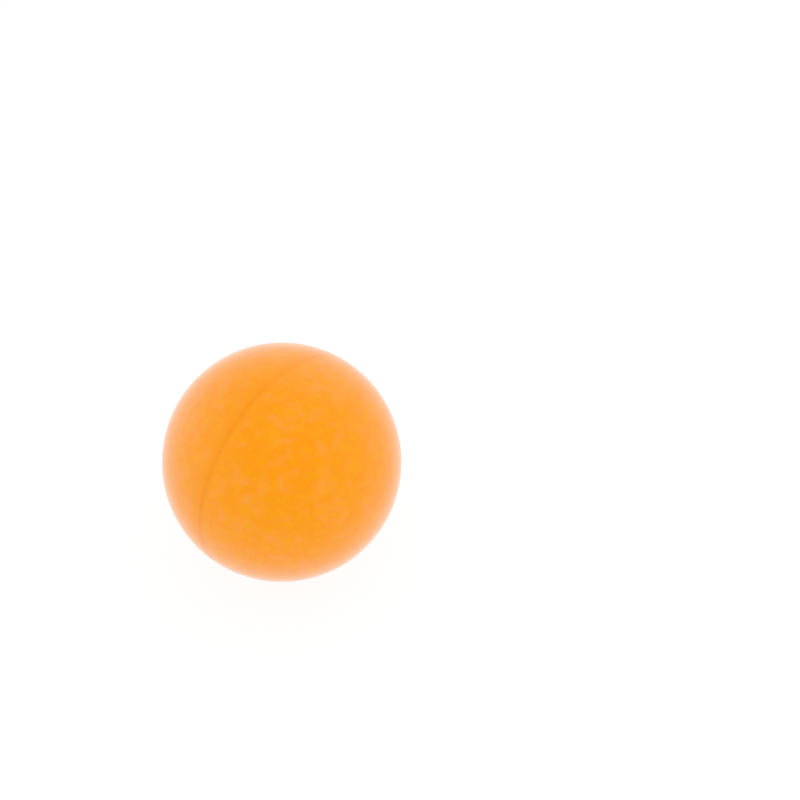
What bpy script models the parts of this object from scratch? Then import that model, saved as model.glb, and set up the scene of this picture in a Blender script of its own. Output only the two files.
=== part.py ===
"""A 40 mm table tennis ball: two thin moulded half shells, glued together in a stepped lap joint.

The ball is drawn about its seam axis. In the drawing frame that axis is Z and the seam lies in the
plane Z = 0: the spigot half is the upper dome and its thin lip reaches down into the socket half.
An empty at the ball's centre then turns the whole drawing, so that the seam axis lies along +X.
Everything is in metres, and the origin is the ball's centre.
"""

import math

import bmesh
import bpy

# Driving dimensions
BALL_DIAMETER = 0.040
WALL = 0.00049  # of the plain dome, on both halves
LAP_LENGTH = 0.0015  # how far the spigot's lip reaches past the seam plane
LIP_WALL = 0.0004  # of the spigot's lip
SOCKET_RIM_WALL = 0.00035  # of the socket's rim outside the lip, at the seam plane
GLUE_FILM = 0.0001
GLUE_CLEARANCE = 0.00002  # between the film and each half, so that no two solids touch
GLUE_RECESS = 0.00003  # how far the film stays below the ball's surface
BEAD_RADIUS = 0.0003  # of the glue squeezed out past the lip's end

# Facets
AROUND = 60  # facets in one turn about the seam axis
DOME_RINGS = 15  # rings of facets from a pole to the seam
BEAD_FACETS = 4

# Worked out from the driving dimensions
OUTER_RADIUS = BALL_DIAMETER / 2
INNER_RADIUS = OUTER_RADIUS - WALL
JOINT = GLUE_FILM + 2 * GLUE_CLEARANCE  # from one half to the other, all along the joint
SOCKET_BORE = OUTER_RADIUS - SOCKET_RIM_WALL
LIP_OUTSIDE = SOCKET_BORE - JOINT
LIP_INSIDE = LIP_OUTSIDE - LIP_WALL
LIP_END = -LAP_LENGTH
LEDGE = LIP_END - JOINT
MERGE_DISTANCE = 1e-6
SHARP_ANGLE = math.radians(30)

# Materials
SHELL_ORANGE = (0.95, 0.35, 0.02, 1.0)
SHELL_ROUGHNESS = 0.75  # the shells are tumbled to a matte surface
GLUE_ORANGE = (0.85, 0.22, 0.01, 1.0)
GLUE_ROUGHNESS = 0.4


def height_at(sphere_radius, radius):
    """The height at which a sphere about the origin is this far from the axis."""
    return math.sqrt(sphere_radius**2 - radius**2)


def radius_at(sphere_radius, height):
    """How far from the axis a sphere about the origin is at this height."""
    return math.sqrt(sphere_radius**2 - height**2)


def dome(sphere_radius, rim_height):
    """(radius, height) points along a sphere, from its pole to where it reaches rim_height."""
    rim_angle = math.acos(abs(rim_height) / sphere_radius)
    side = math.copysign(1, rim_height)
    angles = [rim_angle * ring / DOME_RINGS for ring in range(DOME_RINGS + 1)]
    return [
        (sphere_radius * math.sin(angle), side * sphere_radius * math.cos(angle))
        for angle in angles
    ]


def quarter_round(centre_radius, centre_height, size):
    """(radius, height) points of a quarter circle, from straight inwards to straight down."""
    angles = [math.pi / 2 * step / BEAD_FACETS for step in range(BEAD_FACETS + 1)]
    return [
        (centre_radius - size * math.cos(angle), centre_height - size * math.sin(angle))
        for angle in angles
    ]


def spigot_outline():
    """The upper half: its dome, the shoulder at the seam, and the lip that goes into the socket.

    The lip's bore runs straight up until it meets the dome's inner sphere, so the wall is thickest
    at the seam and thins out over a few millimetres.
    """
    shoulder = JOINT / 2
    bore_top = height_at(INNER_RADIUS, LIP_INSIDE)
    lip = [
        (LIP_OUTSIDE, shoulder),
        (LIP_OUTSIDE, LIP_END),
        (LIP_INSIDE, LIP_END),
    ]
    return dome(OUTER_RADIUS, shoulder) + lip + dome(INNER_RADIUS, bore_top)[::-1]


def socket_outline():
    """The lower half: its dome, with a rebate inside the rim that takes the spigot's lip."""
    rim = -JOINT / 2
    rebate = [
        (SOCKET_BORE, LEDGE),
        (SOCKET_BORE, rim),
    ]
    return dome(INNER_RADIUS, LEDGE) + rebate + dome(OUTER_RADIUS, rim)[::-1]


def glue_outline():
    """The glue between the halves: out through the seam, along the lap, and a bead at the lip's end."""
    half_film = GLUE_FILM / 2
    lap_outside = SOCKET_BORE - GLUE_CLEARANCE
    lap_inside = LIP_OUTSIDE + GLUE_CLEARANCE
    film_end = LIP_END - GLUE_CLEARANCE
    surface = OUTER_RADIUS - GLUE_RECESS
    bead_foot = film_end - BEAD_RADIUS
    against_dome = radius_at(INNER_RADIUS, bead_foot) - GLUE_CLEARANCE
    bead = quarter_round(against_dome, film_end, BEAD_RADIUS)
    return [
        (surface, half_film),
        (surface, -half_film),
        (lap_outside, -half_film),
        (lap_outside, film_end - GLUE_FILM),
        (against_dome, film_end - GLUE_FILM),
        *bead[::-1],
        (lap_inside, film_end),
        (lap_inside, half_film),
    ]


def turned_mesh(name, outline, is_ring):
    """Spins an outline about Z. A ring's outline closes on itself, and any other ends on the axis."""
    mesh = bpy.data.meshes.new(name)
    work = bmesh.new()
    corners = [work.verts.new((radius, 0, height)) for radius, height in outline]
    pairs = list(zip(corners, corners[1:]))
    if is_ring:
        pairs.append((corners[-1], corners[0]))
    edges = [work.edges.new(pair) for pair in pairs]
    bmesh.ops.spin(
        work,
        geom=corners + edges,
        cent=(0, 0, 0),
        axis=(0, 0, 1),
        angle=2 * math.pi,
        steps=AROUND,
        use_merge=True,
    )
    bmesh.ops.remove_doubles(work, verts=work.verts, dist=MERGE_DISTANCE)
    bmesh.ops.recalc_face_normals(work, faces=work.faces)
    work.to_mesh(mesh)
    work.free()
    mesh.shade_smooth()
    mesh.set_sharp_from_angle(angle=SHARP_ANGLE)
    return mesh


def plastic(name, colour, roughness):
    """An opaque plastic."""
    material = bpy.data.materials.new(name)
    material.use_nodes = True
    shader = material.node_tree.nodes["Principled BSDF"]
    shader.inputs["Base Color"].default_value = colour
    shader.inputs["Roughness"].default_value = roughness
    shader.inputs["Metallic"].default_value = 0
    return material


def add_part(name, outline, centre, material, is_ring=False):
    """A turned solid, placed by the empty at the ball's centre."""
    part = bpy.data.objects.new(name, turned_mesh(name, outline, is_ring))
    part.data.materials.append(material)
    part.parent = centre
    bpy.context.scene.collection.objects.link(part)


def clear_scene():
    for found in list(bpy.data.objects):
        bpy.data.objects.remove(found)


def main():
    clear_scene()
    centre = bpy.data.objects.new("ball_centre", None)
    centre.rotation_euler = (0, math.pi / 2, 0)  # the seam axis, drawn along Z, goes to +X
    bpy.context.scene.collection.objects.link(centre)
    spigot_plastic = plastic("spigot_plastic", SHELL_ORANGE, SHELL_ROUGHNESS)
    socket_plastic = plastic("socket_plastic", SHELL_ORANGE, SHELL_ROUGHNESS)
    glue = plastic("seam_glue", GLUE_ORANGE, GLUE_ROUGHNESS)
    add_part("spigot_half_shell", spigot_outline(), centre, spigot_plastic)
    add_part("socket_half_shell", socket_outline(), centre, socket_plastic)
    add_part("seam_glue_ring", glue_outline(), centre, glue, is_ring=True)


main()
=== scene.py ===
"""A 40 mm table tennis ball in matte orange plastic, on a white floor in soft light.

The ball is two thin half shells, glued together in a stepped lap joint. Every piece is turned about
the seam axis, which is X, so an outline here is a list of corners (along X, distance from X, radius
that the corner is rounded to). Lengths are in metres, the ball's centre is the origin, and the seam
lies in the plane X = 0.
"""

import math

import bmesh
import bpy
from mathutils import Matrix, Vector, noise


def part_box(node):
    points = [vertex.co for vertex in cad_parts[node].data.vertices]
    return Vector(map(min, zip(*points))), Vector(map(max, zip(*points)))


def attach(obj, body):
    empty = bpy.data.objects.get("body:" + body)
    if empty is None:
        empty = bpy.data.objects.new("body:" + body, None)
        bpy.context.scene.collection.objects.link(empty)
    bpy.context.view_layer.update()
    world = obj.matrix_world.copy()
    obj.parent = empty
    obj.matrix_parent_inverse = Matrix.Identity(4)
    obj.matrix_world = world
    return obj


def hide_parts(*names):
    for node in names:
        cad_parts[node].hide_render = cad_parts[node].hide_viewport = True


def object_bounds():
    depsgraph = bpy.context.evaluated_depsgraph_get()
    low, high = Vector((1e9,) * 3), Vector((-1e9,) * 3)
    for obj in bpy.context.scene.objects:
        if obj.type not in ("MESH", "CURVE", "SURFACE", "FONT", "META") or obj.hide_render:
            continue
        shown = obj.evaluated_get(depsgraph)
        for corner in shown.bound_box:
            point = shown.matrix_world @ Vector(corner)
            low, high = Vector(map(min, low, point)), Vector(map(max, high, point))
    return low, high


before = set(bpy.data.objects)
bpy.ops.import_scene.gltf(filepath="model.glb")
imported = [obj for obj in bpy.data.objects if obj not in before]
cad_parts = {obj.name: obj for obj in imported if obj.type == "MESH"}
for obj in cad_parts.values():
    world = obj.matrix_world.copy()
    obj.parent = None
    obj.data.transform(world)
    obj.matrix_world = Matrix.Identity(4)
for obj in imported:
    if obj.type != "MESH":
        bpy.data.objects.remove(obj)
CAD_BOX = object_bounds()

MM = 0.001

# The ball, from the frame
SPIGOT_LOW, SPIGOT_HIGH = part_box("spigot_half_shell")
_, SOCKET_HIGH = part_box("socket_half_shell")
RADIUS = SPIGOT_HIGH.x
LIP_END = SPIGOT_LOW.x
HALF_JOINT = -SOCKET_HIGH.x  # from the seam plane to either half
JOINT = 2 * HALF_JOINT

# The walls
WALL = 0.49 * MM
SOCKET_RIM_WALL = 0.35 * MM
LIP_WALL = 0.40 * MM
INNER_RADIUS = RADIUS - WALL
SOCKET_BORE = RADIUS - SOCKET_RIM_WALL
LIP_OUTSIDE = SOCKET_BORE - JOINT
LIP_INSIDE = LIP_OUTSIDE - LIP_WALL
LEDGE = LIP_END - JOINT

# Fine shape
SEAM_ROUND = 0.02 * MM  # of both halves' outer edges, which makes the shallow groove of the seam
HIDDEN_ROUND = 0.06 * MM
GLUE_RECESS = 0.004 * MM
GLUE_SAG = 0.002 * MM
GLUE_BITE = 0.004 * MM  # the glue runs this far into each wall, so that no slit shows
BEAD_RADIUS = 0.30 * MM

# How the seam wanders, as a mould's parting line does, and how the glue ripples
WANDER = 0.025 * MM
WANDER_REACH = 0.8 * MM  # it dies out this far from the seam
WANDER_WAVES = 5
WANDER_SEED = 1.7
GLUE_RIPPLE = 0.002 * MM
GLUE_RIPPLE_WAVES = 22
GLUE_RIPPLE_SEED = 4.1
GLUE_FACE = RADIUS - 3 * GLUE_RECESS  # glue outside this radius is its face in the seam
BEAD_RIPPLE = 0.06 * MM
BEAD_RIPPLE_WAVES = 9
BEAD_RIPPLE_SEED = 8.3

# Facets
AROUND = 288
OUTSIDE_RINGS = 84
INSIDE_RINGS = 48
ROUND_STEPS = 4
BEAD_STEPS = 12
MERGE_DISTANCE = 1e-7
SMOOTH_ANGLE = math.radians(32)

# Colours
WHITE = (1.0, 1.0, 1.0, 1.0)
DEEPER = (0.966, 0.325, 0.001, 1.0)
PALER = (0.966, 0.344, 0.034, 1.0)
YELLOWER = (0.966, 0.356, 0.0005, 1.0)
SPECKLE_SHADE = (0.985, 0.96, 0.88, 1.0)  # the plastic's colour is multiplied by this in its speckle
LAP_ORANGE = (0.96, 0.320, 0.0005, 1.0)
SEAM_ORANGE = (0.925, 0.287, 0.0003, 1.0)
SPECK_ORANGE = (0.88, 0.28, 0.001, 1.0)

# Noise in the plastic and the glue: the size of its blotches, its detail and its distortion
MOTTLE = (2.4 * MM, 3.0, 0.3)
PATCHES = (1.5 * MM, 3.0, 0.3)
SPECKLE = (0.6 * MM, 4.0, 0.0)
LAP_PATCHES = (3 * MM, 2.0, 0.0)
STROKES = (1.2 * MM, 3.0, 0.0)  # the broken strokes that make up the seam line
GLUE_BLOTCHES = (1.6 * MM, 3.0, 0.0)
GRAIN = (0.22 * MM, 4.0, 0.0)
WAVES = (1.1 * MM, 2.0, 0.0)

# The part of a noise's range over which it takes effect
SOFT_RANGE = (0.3, 0.7)
MOTTLE_RANGE = (0.43, 0.70)
PATCH_RANGE = (0.46, 0.68)
STROKE_RANGE = (0.38, 0.60)
PATCH_STRENGTH = 0.9

# Bumps
BUMP_DEPTH = 0.02 * MM
GRAIN_BUMP = 0.35
WAVE_BUMP = 0.4
GLUE_BUMP = 0.3

# The dark specks
SPECK_SPACING = 5 * MM
SPECK_RANGE = (0.02, 0.05)  # from a speck's core to its edge, as fractions of the spacing
SPECK_STRENGTH = 0.9

# Bands of colour along X: where each one starts, is full, starts to fade and ends
LAP_BAND = (-2.6 * MM, -1.0 * MM, 0.2 * MM, 1.4 * MM)
SEAM_BAND = (-0.85 * MM, -0.05 * MM, 0.05 * MM, 0.70 * MM)
WEAKEST_LAP = 0.6
WEAKEST_STROKE = 0.35

# Along Y, the seam line is darkest up to the first of these places and faintest beyond the second
SEAM_FADING = (-7 * MM, 4 * MM)
SEAM_FAINTEST = 0.45

# Finish
SPECULAR = 0.05
SHELL_ROUGHNESS = (0.46, 0.56)
GLUE_ROUGHNESS = (0.48, 0.60)
LAP_ROUGHNESS = (0.62, 0.62, 0.62, 1.0)  # a grey, because it is mixed as a colour is
SHELL_SHEEN = 1.0
GLUE_SHEEN = 0.7
SHEEN_ROUGHNESS = 0.4

# The Mix node's sockets for colours, which share their names with its other sockets
MIX_FIRST = 6
MIX_SECOND = 7
MIX_RESULT = 2

# Camera
AZIMUTH = math.radians(43.6)
ELEVATION = math.radians(45.9)
DISTANCE = 0.45195
AIM_RIGHT = 20.2 * MM  # the ball lies left of and below the middle of the picture
AIM_UP = 9.5 * MM
LENS = 121.5
SENSOR = 36.0

# Studio
FLOOR_SIZE = 6.0
FLOOR_COLOUR = (0.12, 0.12, 0.12, 1.0)  # dark, so that it takes up little of the ball's orange
FLOOR_GLOW = 0.9
SKY_GLOW = 1.0
SOFTBOXES = (  # name, place, width, height, watts, and whether it lights more than the gloss
    ("softbox_right", (0.20, 0.40, 0.60), 0.7, 0.7, 0.40, True),
    ("gloss_left", (-0.66, -0.50, 0.14), 1.2, 0.3, 6.5, False),
    ("gloss_top", (-0.15, 0.64, 0.45), 0.5, 0.3, 2.0, False),
)


# Outlines


def dome(radius, first_along, last_along, rings):
    """Corners along a sphere about the origin, from one place along X to another."""
    first = math.acos(first_along / radius)
    last = math.acos(last_along / radius)
    angles = [first + (last - first) * ring / rings for ring in range(rings + 1)]
    return [(radius * math.cos(angle), radius * math.sin(angle), 0) for angle in angles]


def out_at(sphere_radius, along):
    """How far from X a sphere about the origin is, at this place along X."""
    return math.sqrt(sphere_radius**2 - along**2)


def rounded(before, corner, after, radius):
    """The points of a rounded corner."""
    back = (before - corner).normalized()
    onward = (after - corner).normalized()
    half_turn = back.angle(onward) / 2
    middle = corner + (back + onward).normalized() * radius / math.sin(half_turn)
    reach = radius / math.tan(half_turn)
    start = (corner + back * reach - middle).normalized()
    end = (corner + onward * reach - middle).normalized()
    steps = [step / ROUND_STEPS for step in range(ROUND_STEPS + 1)]
    return [middle + radius * start.slerp(end, step) for step in steps]


def smoothed(corners):
    """The outline's points, with its corners rounded."""
    places = [Vector(corner[:2]) for corner in corners]
    points = []
    for index, (_, _, radius) in enumerate(corners):
        if radius:
            points += rounded(places[index - 1], places[index], places[index + 1], radius)
        else:
            points.append(places[index])
    return points


def mirrored(corners):
    """The same outline on the other side of the seam."""
    return [(-along, out, radius) for along, out, radius in corners]


def spigot_outline():
    """The +X half: its dome, the edge at the seam, and the lip that goes into the socket."""
    seam = HALF_JOINT
    outside = dome(RADIUS, RADIUS, seam + 2 * SEAM_ROUND, OUTSIDE_RINGS)
    inside = dome(INNER_RADIUS, out_at(INNER_RADIUS, LIP_INSIDE), INNER_RADIUS, INSIDE_RINGS)
    lip = [
        (seam, out_at(RADIUS, seam), SEAM_ROUND),
        (seam, LIP_OUTSIDE, 0),
        (LIP_END, LIP_OUTSIDE, HIDDEN_ROUND),
        (LIP_END, LIP_INSIDE, HIDDEN_ROUND),
    ]
    return smoothed(outside + lip + inside)


def socket_outline():
    """The -X half: its dome, and the rebate inside its rim that takes the spigot's lip."""
    rim = HALF_JOINT
    depth = -LEDGE
    outside = dome(RADIUS, RADIUS, rim + 2 * SEAM_ROUND, OUTSIDE_RINGS)
    inside = dome(INNER_RADIUS, depth, INNER_RADIUS, INSIDE_RINGS)
    rebate = [
        (rim, out_at(RADIUS, rim), SEAM_ROUND),
        (rim, SOCKET_BORE, 0),
        (depth, SOCKET_BORE, 0),
    ]
    return smoothed(mirrored(outside + rebate + inside))


def glue_outline():
    """The glue: out through the seam, along the lap, and a bead squeezed out past the lip's end."""
    surface = RADIUS - GLUE_RECESS
    half_film = HALF_JOINT + GLUE_BITE
    bore = SOCKET_BORE + GLUE_BITE
    lip_outside = LIP_OUTSIDE - GLUE_BITE
    lip_end = LIP_END + GLUE_BITE
    ledge = LEDGE - GLUE_BITE
    bead_foot = ledge - BEAD_RADIUS
    wall = out_at(INNER_RADIUS, bead_foot) + GLUE_BITE
    quarter = math.pi / 2
    bead = [
        (
            bead_foot + (lip_end - bead_foot) * (1 - math.cos(quarter * step / BEAD_STEPS)),
            wall - BEAD_RADIUS * math.sin(quarter * step / BEAD_STEPS),
            0,
        )
        for step in range(BEAD_STEPS + 1)
    ]
    film = [
        (lip_end, lip_outside, 0),
        (half_film, lip_outside, 0),
        (half_film, surface, 0),
        (0, surface - GLUE_SAG, 0),
        (-half_film, surface, 0),
        (-half_film, bore, 0),
        (ledge, bore, 0),
        (ledge, wall, 0),
    ]
    return smoothed(film + bead)


# Meshes


def turned(name, outline, is_ring=False):
    """Turns an outline about X. A ring's outline closes on itself, and any other ends on X."""
    mesh = bpy.data.meshes.new(name)
    work = bmesh.new()
    corners = [work.verts.new((along, out, 0)) for along, out in outline]
    pairs = list(zip(corners, corners[1:]))
    if is_ring:
        pairs.append((corners[-1], corners[0]))
    edges = [work.edges.new(pair) for pair in pairs]
    bmesh.ops.spin(
        work,
        geom=corners + edges,
        cent=(0, 0, 0),
        axis=(1, 0, 0),
        angle=2 * math.pi,
        steps=AROUND,
        use_merge=True,
    )
    bmesh.ops.remove_doubles(work, verts=work.verts, dist=MERGE_DISTANCE)
    bmesh.ops.recalc_face_normals(work, faces=work.faces)
    work.to_mesh(mesh)
    work.free()
    mesh.shade_smooth()
    mesh.set_sharp_from_angle(angle=SMOOTH_ANGLE)
    piece = bpy.data.objects.new(name, mesh)
    bpy.context.scene.collection.objects.link(piece)
    return piece


def round_seam(place, waves, seed):
    """A smooth value that wanders between about -1 and 1 with the direction round the seam."""
    out = math.hypot(place.y, place.z)
    return noise.noise(Vector((seed, waves * place.y / out, waves * place.z / out)))


def wander(piece):
    """Lets the seam's outer edges drift a little along X, all pieces alike."""
    for vertex in piece.data.vertices:
        place = vertex.co
        nearness = 1 - abs(place.x) / WANDER_REACH
        if nearness > 0 and math.hypot(place.y, place.z) > SOCKET_BORE:
            vertex.co.x += WANDER * nearness * round_seam(place, WANDER_WAVES, WANDER_SEED)


def scale_out(vertex, amount):
    """Moves a point straight away from X."""
    out = math.hypot(vertex.co.y, vertex.co.z)
    vertex.co.y *= 1 + amount / out
    vertex.co.z *= 1 + amount / out


def ripple_glue(piece):
    """Glue sets unevenly: its face in the seam ripples, and so does the bead inside."""
    for vertex in piece.data.vertices:
        place = vertex.co
        out = math.hypot(place.y, place.z)
        if out > GLUE_FACE:
            ripple = round_seam(place, GLUE_RIPPLE_WAVES, GLUE_RIPPLE_SEED)
            scale_out(vertex, GLUE_RIPPLE * ripple)
        elif place.x < LIP_END and out < INNER_RADIUS - BEAD_RADIUS / 2:
            ripple = round_seam(place, BEAD_RIPPLE_WAVES, BEAD_RIPPLE_SEED)
            scale_out(vertex, BEAD_RIPPLE * ripple)


# Shader nodes


def feed(tree, socket, value):
    """Gives an input its value, or a link from another node's output."""
    if isinstance(value, bpy.types.NodeSocket):
        tree.links.new(value, socket)
    else:
        socket.default_value = value


def feed_all(tree, node, values):
    """Feeds a node's inputs by name."""
    for name, value in values.items():
        feed(tree, node.inputs[name], value)


def add_node(tree, kind, values=None, **settings):
    """A shader node with its settings, and its inputs fed by name."""
    node = tree.nodes.new(kind)
    for setting, value in settings.items():
        setattr(node, setting, value)
    feed_all(tree, node, values or {})
    return node


def mixed(tree, factor, first, second, blend="MIX"):
    """A colour between two others."""
    factors = {"Factor": factor}
    node = add_node(tree, "ShaderNodeMix", factors, data_type="RGBA", blend_type=blend)
    feed(tree, node.inputs[MIX_FIRST], first)
    feed(tree, node.inputs[MIX_SECOND], second)
    return node.outputs[MIX_RESULT]


def ramped(tree, value, span, to_low=0.0, to_high=1.0):
    """A value brought softly from one range to another."""
    limits = {
        "Value": value,
        "From Min": span[0],
        "From Max": span[1],
        "To Min": to_low,
        "To Max": to_high,
    }
    node = add_node(tree, "ShaderNodeMapRange", limits, interpolation_type="SMOOTHSTEP")
    return node.outputs["Result"]


def product(tree, first, second):
    """Two values multiplied."""
    node = add_node(tree, "ShaderNodeMath", operation="MULTIPLY")
    feed(tree, node.inputs[0], first)
    feed(tree, node.inputs[1], second)
    return node.outputs[0]


def cloud(tree, place, texture):
    """Soft noise whose blotches are about a given size, and that distortion draws out into streaks."""
    size, detail, distortion = texture
    values = {"Vector": place, "Scale": 1 / size, "Detail": detail, "Distortion": distortion}
    return add_node(tree, "ShaderNodeTexNoise", values).outputs["Fac"]


def band(tree, along, limits):
    """1 in the middle of a band along X, and falling softly to 0 at both its ends."""
    start, full, fade, end = limits
    rise = ramped(tree, along, (start, full))
    fall = ramped(tree, along, (fade, end), 1.0, 0.0)
    return product(tree, rise, fall)


def bumped(tree, height, strength, normal=None):
    """The surface's normal with small bumps added, on top of other bumps if there are any."""
    values = {"Strength": strength, "Distance": BUMP_DEPTH, "Height": height}
    if normal is not None:
        values["Normal"] = normal
    return add_node(tree, "ShaderNodeBump", values).outputs["Normal"]


def new_material(name):
    """A material, its node tree and its shader."""
    material = bpy.data.materials.new(name)
    material.use_nodes = True
    tree = material.node_tree
    return material, tree, tree.nodes["Principled BSDF"]


# Materials


def matte_finish(tree, shader, sheen):
    """The tumbled surface that the whole ball has: hardly any gloss, and pale where seen aslant."""
    finish = {
        "Specular IOR Level": SPECULAR,
        "Sheen Weight": sheen,
        "Sheen Roughness": SHEEN_ROUGHNESS,
        "Sheen Tint": WHITE,
    }
    feed_all(tree, shader, finish)


def mottled(tree, place):
    """The plastic's own colour: pale mottle, yellower patches, and a fine speckle over both."""
    mottle = ramped(tree, cloud(tree, place, MOTTLE), MOTTLE_RANGE)
    colour = mixed(tree, mottle, DEEPER, PALER)
    patches = ramped(tree, cloud(tree, place, PATCHES), PATCH_RANGE, 0.0, PATCH_STRENGTH)
    colour = mixed(tree, patches, colour, YELLOWER)
    speckle = ramped(tree, cloud(tree, place, SPECKLE), SOFT_RANGE)
    return mixed(tree, speckle, colour, SPECKLE_SHADE, "MULTIPLY")


def lap_strength(tree, place, along):
    """How far the plastic has the lap's deeper colour, where the two walls lie over each other."""
    strength = ramped(tree, cloud(tree, place, LAP_PATCHES), SOFT_RANGE, WEAKEST_LAP, 1.0)
    return product(tree, band(tree, along, LAP_BAND), strength)


def seam_strength(tree, place):
    """How dark the seam is along its length: in broken strokes, and fainter on its +Y side."""
    strokes = ramped(tree, cloud(tree, place, STROKES), STROKE_RANGE, WEAKEST_STROKE, 1.0)
    across = add_node(tree, "ShaderNodeSeparateXYZ", {"Vector": place}).outputs["Y"]
    fading = ramped(tree, across, SEAM_FADING, 1.0, SEAM_FAINTEST)
    return product(tree, strokes, fading)


def specks(tree, place):
    """Tiny dark specks, wherever the surface passes close to the middle of a Voronoi cell."""
    cells = {"Vector": place, "Scale": 1 / SPECK_SPACING}
    distance = add_node(tree, "ShaderNodeTexVoronoi", cells).outputs["Distance"]
    return ramped(tree, distance, SPECK_RANGE, SPECK_STRENGTH, 0.0)


def shell_plastic():
    """Tumbled matte plastic: mottled, finely grained, and deeper where the walls lap at the seam."""
    material, tree, shader = new_material("shell_plastic")
    place = add_node(tree, "ShaderNodeTexCoord").outputs["Object"]
    along = add_node(tree, "ShaderNodeSeparateXYZ", {"Vector": place}).outputs["X"]

    lap = lap_strength(tree, place, along)
    line = product(tree, band(tree, along, SEAM_BAND), seam_strength(tree, place))
    colour = mixed(tree, lap, mottled(tree, place), LAP_ORANGE)
    colour = mixed(tree, line, colour, SEAM_ORANGE)
    colour = mixed(tree, specks(tree, place), colour, SPECK_ORANGE)

    grain = bumped(tree, cloud(tree, place, GRAIN), GRAIN_BUMP)
    waves = cloud(tree, place, WAVES)
    roughness = ramped(tree, waves, SOFT_RANGE, *SHELL_ROUGHNESS)
    looks = {
        "Base Color": colour,
        "Normal": bumped(tree, waves, WAVE_BUMP, grain),
        "Roughness": mixed(tree, lap, roughness, LAP_ROUGHNESS),
    }
    feed_all(tree, shader, looks)
    matte_finish(tree, shader, SHELL_SHEEN)
    return material


def seam_glue():
    """Set glue. Along the seam it is as dark as the plastic beside it."""
    material, tree, shader = new_material("seam_glue")
    place = add_node(tree, "ShaderNodeTexCoord").outputs["Object"]
    blotch = ramped(tree, cloud(tree, place, GLUE_BLOTCHES), SOFT_RANGE)
    looks = {
        "Base Color": mixed(tree, seam_strength(tree, place), LAP_ORANGE, SEAM_ORANGE),
        "Normal": bumped(tree, blotch, GLUE_BUMP),
        "Roughness": ramped(tree, blotch, (0.0, 1.0), *GLUE_ROUGHNESS),
    }
    feed_all(tree, shader, looks)
    matte_finish(tree, shader, GLUE_SHEEN)
    return material


def floor_white():
    """A surface that glows white, as a light table does."""
    material, tree, shader = new_material("floor_white")
    looks = {
        "Base Color": FLOOR_COLOUR,
        "Roughness": 1.0,
        "Specular IOR Level": 0.0,
        "Emission Color": WHITE,
        "Emission Strength": FLOOR_GLOW,
    }
    feed_all(tree, shader, looks)
    return material


# Scene


def finish_piece(piece, material, node):
    """A piece of the ball, in place of its CAD node."""
    piece.data.materials.append(material)
    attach(piece, "root")
    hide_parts(node)


def make_ball():
    plastic = shell_plastic()
    spigot = turned("spigot_shell", spigot_outline())
    socket = turned("socket_shell", socket_outline())
    glue = turned("seam_glue", glue_outline(), is_ring=True)
    ripple_glue(glue)
    for piece in (spigot, socket, glue):
        wander(piece)
    finish_piece(spigot, plastic, "spigot_half_shell")
    finish_piece(socket, plastic, "socket_half_shell")
    finish_piece(glue, seam_glue(), "seam_glue_ring")


def make_floor():
    mesh = bpy.data.meshes.new("floor")
    half = FLOOR_SIZE / 2
    height = CAD_BOX[0].z
    corners = [(-half, -half), (half, -half), (half, half), (-half, half)]
    mesh.from_pydata([(x, y, height) for x, y in corners], [], [(0, 1, 2, 3)])
    mesh.materials.append(floor_white())
    floor = bpy.data.objects.new("floor", mesh)
    bpy.context.scene.collection.objects.link(floor)


def make_lights():
    """A white sky all round, and softboxes that face the ball."""
    world = bpy.data.worlds.new("white_room")
    world.use_nodes = True
    background = world.node_tree.nodes["Background"]
    background.inputs["Color"].default_value = WHITE
    background.inputs["Strength"].default_value = SKY_GLOW
    bpy.context.scene.world = world

    for name, place, width, height, watts, lights_colour in SOFTBOXES:
        light = bpy.data.lights.new(name, "AREA")
        light.shape = "RECTANGLE"
        light.size = width
        light.size_y = height
        light.energy = watts
        softbox = bpy.data.objects.new(name, light)
        softbox.visible_diffuse = lights_colour
        softbox.location = place
        softbox.rotation_euler = (-Vector(place)).to_track_quat("-Z", "Y").to_euler()
        bpy.context.scene.collection.objects.link(softbox)


def make_camera():
    """The camera looks past the ball, which lies left of and below the picture's middle."""
    level = math.cos(ELEVATION)
    towards = Vector((math.sin(AZIMUTH) * level, -math.cos(AZIMUTH) * level, math.sin(ELEVATION)))
    right = Vector((math.cos(AZIMUTH), math.sin(AZIMUTH), 0))
    up = towards.cross(right)
    aim = AIM_RIGHT * right + AIM_UP * up
    data = bpy.data.cameras.new("camera")
    data.lens = LENS
    data.sensor_width = SENSOR
    camera = bpy.data.objects.new("camera", data)
    camera.location = DISTANCE * towards
    camera.rotation_euler = (aim - camera.location).to_track_quat("-Z", "Y").to_euler()
    bpy.context.scene.collection.objects.link(camera)
    bpy.context.scene.camera = camera


make_camera()
make_ball()
make_floor()
make_lights()
bpy.context.scene.view_settings.view_transform = "Standard"
